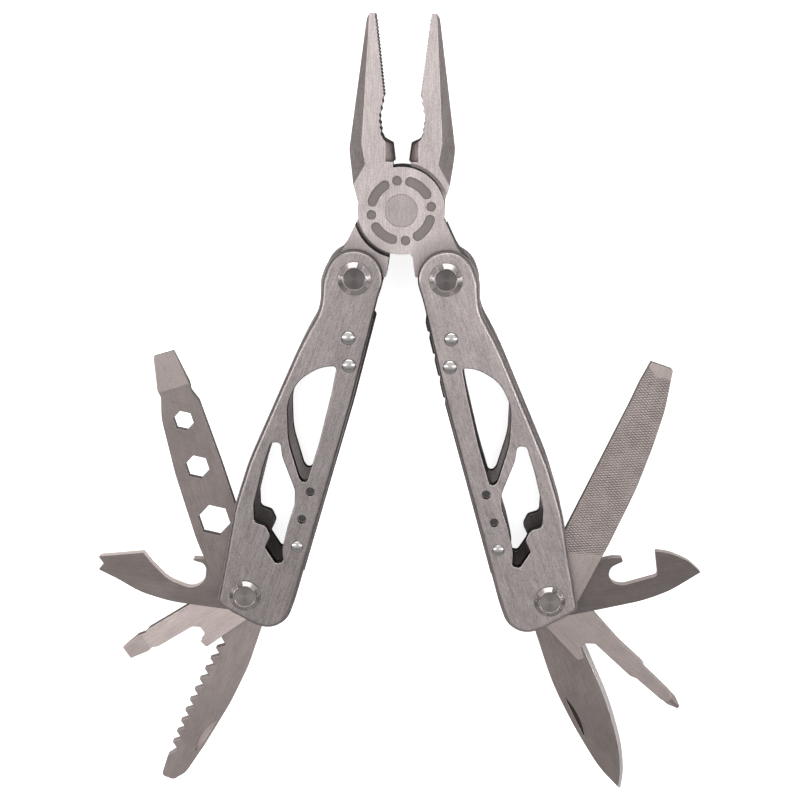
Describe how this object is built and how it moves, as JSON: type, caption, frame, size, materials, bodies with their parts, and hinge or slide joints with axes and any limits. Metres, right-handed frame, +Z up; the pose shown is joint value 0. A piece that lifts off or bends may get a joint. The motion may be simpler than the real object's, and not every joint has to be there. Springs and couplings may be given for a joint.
{
  "type": "multi tool",
  "caption": "Folding pocket multi tool: needle-nose pliers between two steel handles, with folding hex wrench, openers, drivers, saw, file and knife.",
  "frame": {"origin": "middle of the footprint, on the surface that the tool lies on", "axes": "+Y towards the plier tips, +X to the right, +Z up out of the front face"},
  "size_m": [0.1684, 0.2197, 0.0203],
  "materials": {
    "handle_plates": "satin steel, grain along the handle",
    "liners": "dull rolled steel",
    "springs": "dark hardened spring steel",
    "polished_rivets": "polished domes",
    "pins": "dull steel pins",
    "washers": "thin bright washers",
    "turned_bolts": "turned face and bright notched cone",
    "pliers_steel": "satin steel, grain along the jaws",
    "blade_steel": "satin stainless steel"
  },
  "bodies": {
    "pliers_rear": {"rear_jaw": "pliers_steel", "pliers_pivot_rivet": "pliers_steel"},
    "pliers_front": {"front_jaw": "pliers_steel"},
    "left_handle": {"left_front_scale": "handle_plates", "left_front_liner": "liners", "left_rear_liner": "liners", "left_rear_scale": "handle_plates", "left_back_spring": "springs", "left_dome_rivets": "polished_rivets", "left_spring_pins": "pins", "left_tool_washers": "washers", "left_tang_washers": "washers", "left_tang_bolt": "turned_bolts", "left_tang_nut": "turned_bolts", "left_tool_bolt": "turned_bolts", "left_tool_nut": "turned_bolts"},
    "right_handle": {"right_front_scale": "handle_plates", "right_front_liner": "liners", "right_rear_liner": "liners", "right_rear_scale": "handle_plates", "right_back_spring": "springs", "right_dome_rivets": "polished_rivets", "right_spring_pins": "pins", "right_tool_washers": "washers", "right_tang_washers": "washers", "right_tang_bolt": "turned_bolts", "right_tang_nut": "turned_bolts", "right_tool_bolt": "turned_bolts", "right_tool_nut": "turned_bolts"},
    "hex_wrench": {"hex_wrench": "blade_steel"},
    "bottle_opener": {"bottle_opener": "blade_steel"},
    "small_flat_driver": {"small_flat_driver": "blade_steel"},
    "wood_saw": {"wood_saw": "blade_steel"},
    "metal_file": {"metal_file": "blade_steel"},
    "can_opener": {"can_opener": "blade_steel"},
    "cross_point_driver": {"cross_point_driver": "blade_steel"},
    "knife_blade": {"knife_blade": "blade_steel"}
  },
  "joints": [
    {"name": "pliers_hinge", "type": "hinge", "parent": "pliers_rear", "child": "pliers_front", "pos_m": [-0.00002, 0.05845, 0.01015], "axis": [0, 0, 1], "range_deg": [-15.6, 22]},
    {"name": "left_handle_fold", "type": "hinge", "parent": "pliers_rear", "child": "left_handle", "pos_m": [-0.01222, 0.04065, 0.01015], "axis": [0, 0, -1], "range_deg": [0, 100]},
    {"name": "right_handle_fold", "type": "hinge", "parent": "pliers_front", "child": "right_handle", "pos_m": [0.01218, 0.04065, 0.01015], "axis": [0, 0, 1], "range_deg": [0, 100]},
    {"name": "hex_wrench_fold", "type": "hinge", "parent": "left_handle", "child": "hex_wrench", "pos_m": [-0.04223, -0.04853, 0.01015], "axis": [0, 0, 1], "range_deg": [-33, 143]},
    {"name": "bottle_opener_fold", "type": "hinge", "parent": "left_handle", "child": "bottle_opener", "pos_m": [-0.04223, -0.04853, 0.01015], "axis": [0, 0, 1], "range_deg": [-94.5, 79.5]},
    {"name": "small_flat_driver_fold", "type": "hinge", "parent": "left_handle", "child": "small_flat_driver", "pos_m": [-0.04223, -0.04853, 0.01015], "axis": [0, 0, 1], "range_deg": [-136, 40]},
    {"name": "wood_saw_fold", "type": "hinge", "parent": "left_handle", "child": "wood_saw", "pos_m": [-0.04223, -0.04853, 0.01015], "axis": [0, 0, 1], "range_deg": [-175, 2]},
    {"name": "metal_file_fold", "type": "hinge", "parent": "right_handle", "child": "metal_file", "pos_m": [0.0422, -0.04853, 0.01015], "axis": [0, 0, -1], "range_deg": [-41, 138]},
    {"name": "can_opener_fold", "type": "hinge", "parent": "right_handle", "child": "can_opener", "pos_m": [0.0422, -0.04853, 0.01015], "axis": [0, 0, -1], "range_deg": [-89.5, 80.5]},
    {"name": "cross_point_driver_fold", "type": "hinge", "parent": "right_handle", "child": "cross_point_driver", "pos_m": [0.0422, -0.04853, 0.01015], "axis": [0, 0, -1], "range_deg": [-147, 29]},
    {"name": "knife_blade_fold", "type": "hinge", "parent": "right_handle", "child": "knife_blade", "pos_m": [0.0422, -0.04853, 0.01015], "axis": [0, 0, -1], "range_deg": [-174, 2]}
  ]
}
